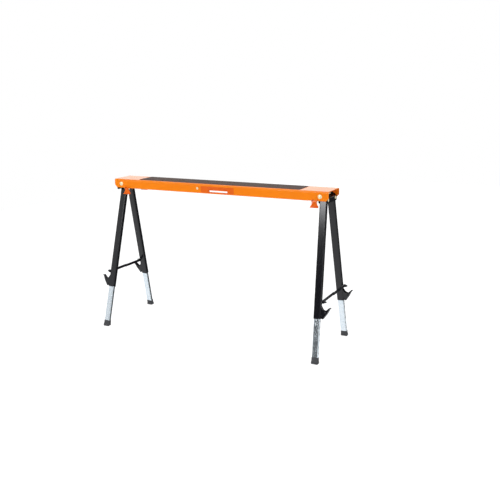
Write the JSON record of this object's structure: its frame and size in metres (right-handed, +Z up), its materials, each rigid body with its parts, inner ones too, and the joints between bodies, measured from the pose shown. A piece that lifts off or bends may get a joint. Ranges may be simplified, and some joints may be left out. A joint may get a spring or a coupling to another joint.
{
  "type": "folding sawhorse",
  "caption": "Folding steel sawhorse: channel beam with a non-slip mat on two braced A-shaped leg pairs, each leg with a latched sliding extension.",
  "frame": {"origin": "on the floor, under the middle of the beam", "axes": "+Z up, +X along the beam towards its right-hand end, front (the side with the carry handle) at -Y"},
  "size_m": [1.0877, 0.355, 0.6483],
  "materials": {
    "orange_paint": "glossy powder coat",
    "red_orange_paint": "glossy powder coat",
    "black_paint": "satin powder coat",
    "galvanised_steel": "bright galvanised",
    "zinc_plate": "yellow zinc plate",
    "spring_steel": "bright wire",
    "mat_rubber": "ribbed matt",
    "foot_rubber": "moulded matt"
  },
  "bodies": {
    "beam_frame": {"beam": "orange_paint", "anti_slip_mat": "mat_rubber", "carry_handle": "red_orange_paint", "handle_rivet": "zinc_plate", "left_front_support_plate": "red_orange_paint", "left_front_support_pin": "zinc_plate", "left_rear_support_plate": "red_orange_paint", "left_rear_support_pin": "zinc_plate", "right_front_support_plate": "red_orange_paint", "right_front_support_pin": "zinc_plate", "right_rear_support_plate": "red_orange_paint", "right_rear_support_pin": "zinc_plate", "left_pivot_bolt": "zinc_plate", "left_pivot_nut": "zinc_plate", "right_pivot_bolt": "zinc_plate", "right_pivot_nut": "zinc_plate"},
    "left_yoke_frame": {"left_yoke": "black_paint", "left_front_hinge_pin": "zinc_plate", "left_rear_hinge_pin": "zinc_plate"},
    "left_rear_leg": {"left_rear_outer_leg": "black_paint", "left_rear_latch_axle": "black_paint", "left_rear_latch_spring": "spring_steel", "left_rear_brace_stud": "black_paint"},
    "left_rear_extension": {"left_rear_inner_leg": "galvanised_steel", "left_rear_foot": "foot_rubber"},
    "left_rear_latch": {"left_rear_latch_lever": "black_paint"},
    "left_rear_brace": {"left_rear_brace_half": "black_paint"},
    "left_front_leg": {"left_front_outer_leg": "black_paint", "left_front_latch_axle": "black_paint", "left_front_latch_spring": "spring_steel", "left_front_brace_stud": "black_paint"},
    "left_front_extension": {"left_front_inner_leg": "galvanised_steel", "left_front_foot": "foot_rubber"},
    "left_front_latch": {"left_front_latch_lever": "black_paint"},
    "left_front_brace": {"left_front_brace_half": "black_paint", "left_brace_rivet": "black_paint"},
    "left_front_support_swing": {"left_front_support_arm": "red_orange_paint"},
    "left_rear_support_swing": {"left_rear_support_arm": "red_orange_paint"},
    "right_yoke_frame": {"right_yoke": "black_paint", "right_front_hinge_pin": "zinc_plate", "right_rear_hinge_pin": "zinc_plate"},
    "right_front_leg": {"right_front_outer_leg": "black_paint", "right_front_latch_axle": "black_paint", "right_front_latch_spring": "spring_steel", "right_front_brace_stud": "black_paint"},
    "right_front_extension": {"right_front_inner_leg": "galvanised_steel", "right_front_foot": "foot_rubber"},
    "right_front_latch": {"right_front_latch_lever": "black_paint"},
    "right_front_brace": {"right_front_brace_half": "black_paint"},
    "right_rear_leg": {"right_rear_outer_leg": "black_paint", "right_rear_latch_axle": "black_paint", "right_rear_latch_spring": "spring_steel", "right_rear_brace_stud": "black_paint"},
    "right_rear_extension": {"right_rear_inner_leg": "galvanised_steel", "right_rear_foot": "foot_rubber"},
    "right_rear_latch": {"right_rear_latch_lever": "black_paint"},
    "right_rear_brace": {"right_rear_brace_half": "black_paint", "right_brace_rivet": "black_paint"},
    "right_front_support_swing": {"right_front_support_arm": "red_orange_paint"},
    "right_rear_support_swing": {"right_rear_support_arm": "red_orange_paint"}
  },
  "joints": [
    {"name": "left_fold", "type": "hinge", "parent": "beam_frame", "child": "left_yoke_frame", "pos_m": [-0.465, 0, 0.6265], "axis": [0, -1, 0], "range_deg": [0, 93]},
    {"name": "left_rear_spread", "type": "hinge", "parent": "left_yoke_frame", "child": "left_rear_leg", "pos_m": [-0.47482, 0.019, 0.61099], "axis": [-0.9986, 0, 0.0523], "range_deg": [0, 13.8]},
    {"name": "left_rear_height", "type": "slide", "parent": "left_rear_leg", "child": "left_rear_extension", "axis": [-0.0509, 0.2351, -0.9706], "range_m": [0, 0.2]},
    {"name": "left_rear_latch_press", "type": "hinge", "parent": "left_rear_leg", "child": "left_rear_latch", "pos_m": [-0.5292, 0.11916, 0.19922], "axis": [0.0123, 0.972, 0.2348], "range_deg": [0, 18], "stiffness_Nm_per_rad": 0.25, "springref_deg": -20.05},
    {"name": "left_rear_brace_fold", "type": "hinge", "parent": "left_rear_leg", "child": "left_rear_brace", "pos_m": [-0.50819, 0.10975, 0.23705], "axis": [-0.9986, 0, 0.0523], "range_deg": [0, 66.63]},
    {"name": "left_front_spread", "type": "hinge", "parent": "left_yoke_frame", "child": "left_front_leg", "pos_m": [-0.47482, -0.019, 0.61099], "axis": [0.9986, 0, -0.0523], "range_deg": [0, 13.8]},
    {"name": "left_front_height", "type": "slide", "parent": "left_front_leg", "child": "left_front_extension", "axis": [-0.0509, -0.2351, -0.9706], "range_m": [0, 0.2]},
    {"name": "left_front_latch_press", "type": "hinge", "parent": "left_front_leg", "child": "left_front_latch", "pos_m": [-0.5292, -0.11916, 0.19922], "axis": [-0.0123, 0.972, -0.2348], "range_deg": [0, 18], "stiffness_Nm_per_rad": 0.25, "springref_deg": -20.05},
    {"name": "left_front_brace_fold", "type": "hinge", "parent": "left_front_leg", "child": "left_front_brace", "pos_m": [-0.50819, -0.10975, 0.23705], "axis": [0.9986, 0, -0.0523], "range_deg": [0, 66.63]},
    {"name": "left_front_support_fold", "type": "hinge", "parent": "beam_frame", "child": "left_front_support_swing", "pos_m": [-0.433, -0.0612, 0.606], "axis": [-1, 0, 0], "range_deg": [0, 90]},
    {"name": "left_rear_support_fold", "type": "hinge", "parent": "beam_frame", "child": "left_rear_support_swing", "pos_m": [-0.433, 0.0612, 0.606], "axis": [1, 0, 0], "range_deg": [0, 90]},
    {"name": "right_fold", "type": "hinge", "parent": "beam_frame", "child": "right_yoke_frame", "pos_m": [0.465, 0, 0.6265], "axis": [0, 1, 0], "range_deg": [0, 91.9]},
    {"name": "right_front_spread", "type": "hinge", "parent": "right_yoke_frame", "child": "right_front_leg", "pos_m": [0.47453, -0.0385, 0.61081], "axis": [0.9995, 0, 0.0332], "range_deg": [0, 12.07]},
    {"name": "right_front_height", "type": "slide", "parent": "right_front_leg", "child": "right_front_extension", "axis": [0.0324, -0.2058, -0.9781], "range_m": [0, 0.2]},
    {"name": "right_front_latch_press", "type": "hinge", "parent": "right_front_leg", "child": "right_front_latch", "pos_m": [0.52108, -0.12615, 0.19524], "axis": [-0.0068, -0.9786, 0.2056], "range_deg": [0, 18], "stiffness_Nm_per_rad": 0.25, "springref_deg": -20.05},
    {"name": "right_front_brace_fold", "type": "hinge", "parent": "right_front_leg", "child": "right_front_brace", "pos_m": [0.50079, -0.11792, 0.23373], "axis": [0.9995, 0, 0.0332], "range_deg": [0, 59.27]},
    {"name": "right_rear_spread", "type": "hinge", "parent": "right_yoke_frame", "child": "right_rear_leg", "pos_m": [0.47453, 0.0385, 0.61081], "axis": [-0.9995, 0, -0.0332], "range_deg": [0, 12.07]},
    {"name": "right_rear_height", "type": "slide", "parent": "right_rear_leg", "child": "right_rear_extension", "axis": [0.0324, 0.2058, -0.9781], "range_m": [0, 0.2]},
    {"name": "right_rear_latch_press", "type": "hinge", "parent": "right_rear_leg", "child": "right_rear_latch", "pos_m": [0.52108, 0.12615, 0.19524], "axis": [0.0068, -0.9786, -0.2056], "range_deg": [0, 18], "stiffness_Nm_per_rad": 0.25, "springref_deg": -20.05},
    {"name": "right_rear_brace_fold", "type": "hinge", "parent": "right_rear_leg", "child": "right_rear_brace", "pos_m": [0.50079, 0.11792, 0.23373], "axis": [-0.9995, 0, -0.0332], "range_deg": [0, 59.27]},
    {"name": "right_front_support_fold", "type": "hinge", "parent": "beam_frame", "child": "right_front_support_swing", "pos_m": [0.4445, -0.0612, 0.606], "axis": [-1, 0, 0], "range_deg": [0, 90]},
    {"name": "right_rear_support_fold", "type": "hinge", "parent": "beam_frame", "child": "right_rear_support_swing", "pos_m": [0.4445, 0.0612, 0.606], "axis": [1, 0, 0], "range_deg": [0, 90]}
  ],
  "couplings": [
    {"joint": "left_rear_spread", "follows": "left_fold", "ratio": 0.14622},
    {"joint": "left_rear_brace_fold", "follows": "left_fold", "ratio": 0.71433},
    {"joint": "left_front_spread", "follows": "left_fold", "ratio": 0.14622},
    {"joint": "left_front_brace_fold", "follows": "left_fold", "ratio": 0.71433},
    {"joint": "right_front_spread", "follows": "right_fold", "ratio": 0.12921},
    {"joint": "right_front_brace_fold", "follows": "right_fold", "ratio": 0.64277},
    {"joint": "right_rear_spread", "follows": "right_fold", "ratio": 0.12921},
    {"joint": "right_rear_brace_fold", "follows": "right_fold", "ratio": 0.64277}
  ]
}
